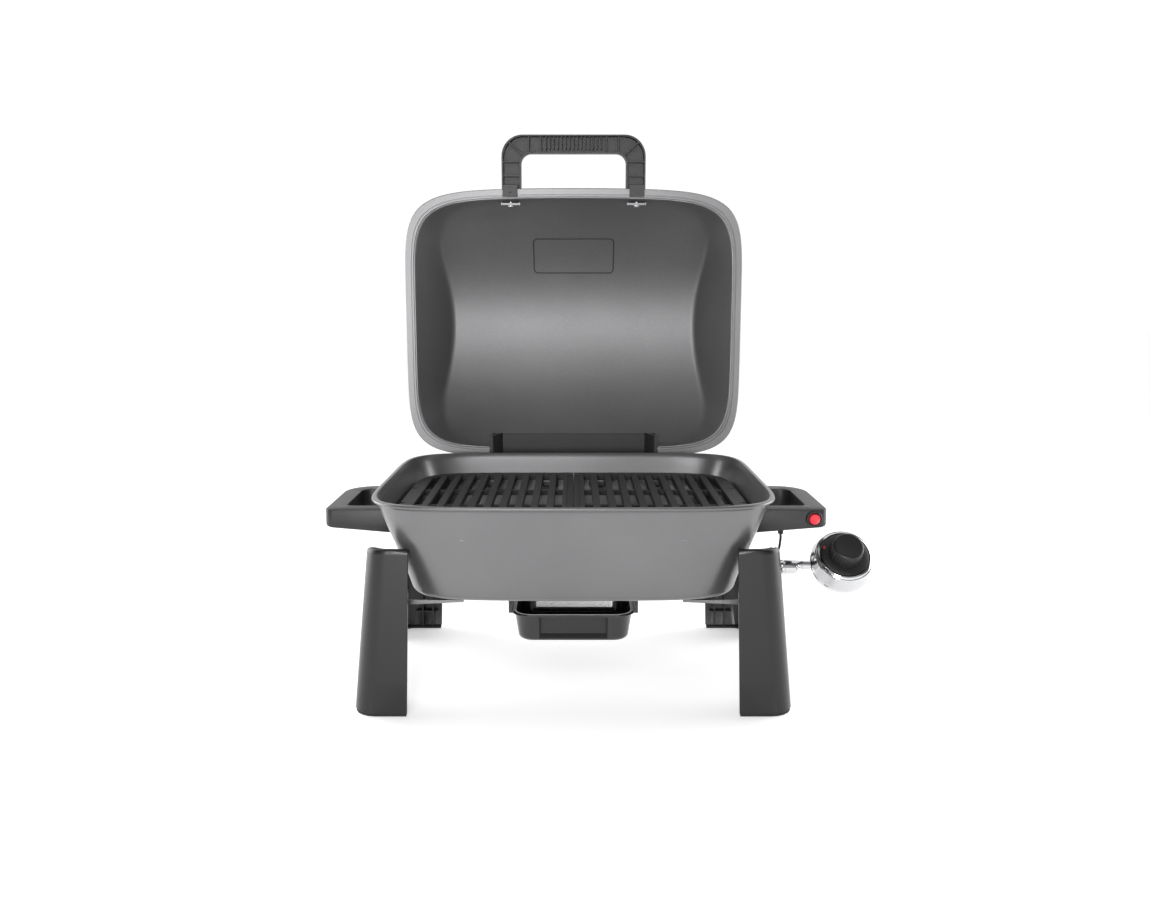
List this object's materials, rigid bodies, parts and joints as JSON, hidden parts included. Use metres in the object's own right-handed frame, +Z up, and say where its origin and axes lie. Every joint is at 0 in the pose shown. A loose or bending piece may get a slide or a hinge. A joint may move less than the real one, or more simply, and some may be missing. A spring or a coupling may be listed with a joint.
{
  "type": "portable tabletop gas grill",
  "caption": "Tabletop gas grill with a hinged domed lid, split grates, folding corner legs, loop handles, sliding grease tray, push igniter and a knob regulator.",
  "frame": {"origin": "on the ground, under the centre of the open grill's box", "axes": "+X to the cook's right, +Y to the back, +Z up"},
  "size_m": [0.6162, 0.4564, 0.6345],
  "materials": {
    "grey_cast_aluminium": "satin grey paint",
    "dark_cast_aluminium": "satin dark grey paint",
    "enamelled_iron": "matte enamel",
    "black_plastic": "fine satin grain",
    "black_rubber": "matte",
    "plated_steel": "zinc plated",
    "chrome": "polished",
    "brass": "turned",
    "white_ceramic": "glazed",
    "black_enamel": "gloss enamel",
    "red_plastic": "gloss"
  },
  "bodies": {
    "base": {"firebox": "grey_cast_aluminium", "left_side_handle": "black_plastic", "right_side_handle": "black_plastic", "igniter_bezel": "black_plastic", "igniter_wire": "black_rubber", "igniter_wire_gland": "black_rubber", "heat_plate": "plated_steel", "burner_tube": "plated_steel", "burner_stand": "plated_steel", "gas_pipe": "plated_steel", "hinge_bracket_left": "plated_steel", "hinge_bracket_right": "plated_steel", "hinge_pin_left": "plated_steel", "hinge_pin_right": "plated_steel", "left_handle_screw_front": "plated_steel", "left_handle_screw_rear": "plated_steel", "right_handle_screw_front": "plated_steel", "right_handle_screw_rear": "plated_steel", "tray_rail_left": "plated_steel", "tray_rail_right": "plated_steel", "front_left_leg_bracket": "plated_steel", "front_right_leg_bracket": "plated_steel", "rear_left_leg_bracket": "plated_steel", "rear_right_leg_bracket": "plated_steel", "regulator_body": "chrome", "regulator_outlet": "chrome", "cylinder_collar": "brass", "igniter_electrode": "white_ceramic", "piezo_module": "white_ceramic"},
    "lid": {"lid_shell": "dark_cast_aluminium", "lid_handle": "black_plastic", "lid_handle_screw_left": "plated_steel", "lid_handle_screw_right": "plated_steel", "lid_hinge_lug_left": "plated_steel", "lid_hinge_lug_right": "plated_steel"},
    "left_grate": {"left_grate": "enamelled_iron"},
    "right_grate": {"right_grate": "enamelled_iron"},
    "tray": {"grease_tray": "black_enamel"},
    "knob": {"knob_skirt": "black_plastic", "regulator_knob": "black_plastic"},
    "button": {"igniter_button": "red_plastic"},
    "front_left_leg": {"front_left_leg": "black_plastic", "front_left_foot_pad": "black_rubber", "front_left_leg_pin": "plated_steel"},
    "front_right_leg": {"front_right_leg": "black_plastic", "front_right_foot_pad": "black_rubber", "front_right_leg_pin": "plated_steel"},
    "rear_left_leg": {"rear_left_leg": "black_plastic", "rear_left_foot_pad": "black_rubber", "rear_left_leg_pin": "plated_steel"},
    "rear_right_leg": {"rear_right_leg": "black_plastic", "rear_right_foot_pad": "black_rubber", "rear_right_leg_pin": "plated_steel"}
  },
  "joints": [
    {"name": "lid_hinge", "type": "hinge", "parent": "base", "child": "lid", "pos_m": [-0.0371, 0.115, 0.21925], "axis": [1, 0, 0], "range_deg": [0, 90]},
    {"name": "left_grate_lift", "type": "slide", "parent": "base", "child": "left_grate", "axis": [0, 0, 1], "range_m": [0, 0.035]},
    {"name": "right_grate_lift", "type": "slide", "parent": "base", "child": "right_grate", "axis": [0, 0, 1], "range_m": [0, 0.035]},
    {"name": "tray_slide", "type": "slide", "parent": "base", "child": "tray", "axis": [0, -1, 0], "range_m": [0, 0.1]},
    {"name": "knob_turn", "type": "hinge", "parent": "base", "child": "knob", "pos_m": [0.2719, -0.08285, 0.1416], "axis": [0, -0.7071, 0.7071], "range_deg": [0, 270]},
    {"name": "igniter_press", "type": "slide", "parent": "base", "child": "button", "axis": [0, 1, 0], "range_m": [0, 0.005], "stiffness_N_per_m": 1200},
    {"name": "front_left_leg_fold", "type": "hinge", "parent": "base", "child": "front_left_leg", "pos_m": [-0.2251, -0.17025, 0.112], "axis": [0, -1, 0], "range_deg": [0, 90]},
    {"name": "front_right_leg_fold", "type": "hinge", "parent": "base", "child": "front_right_leg", "pos_m": [0.1509, -0.17025, 0.112], "axis": [0, 1, 0], "range_deg": [0, 90]},
    {"name": "rear_left_leg_fold", "type": "hinge", "parent": "base", "child": "rear_left_leg", "pos_m": [-0.2251, 0.04975, 0.112], "axis": [0, -1, 0], "range_deg": [0, 90]},
    {"name": "rear_right_leg_fold", "type": "hinge", "parent": "base", "child": "rear_right_leg", "pos_m": [0.1509, 0.04975, 0.112], "axis": [0, 1, 0], "range_deg": [0, 90]}
  ]
}
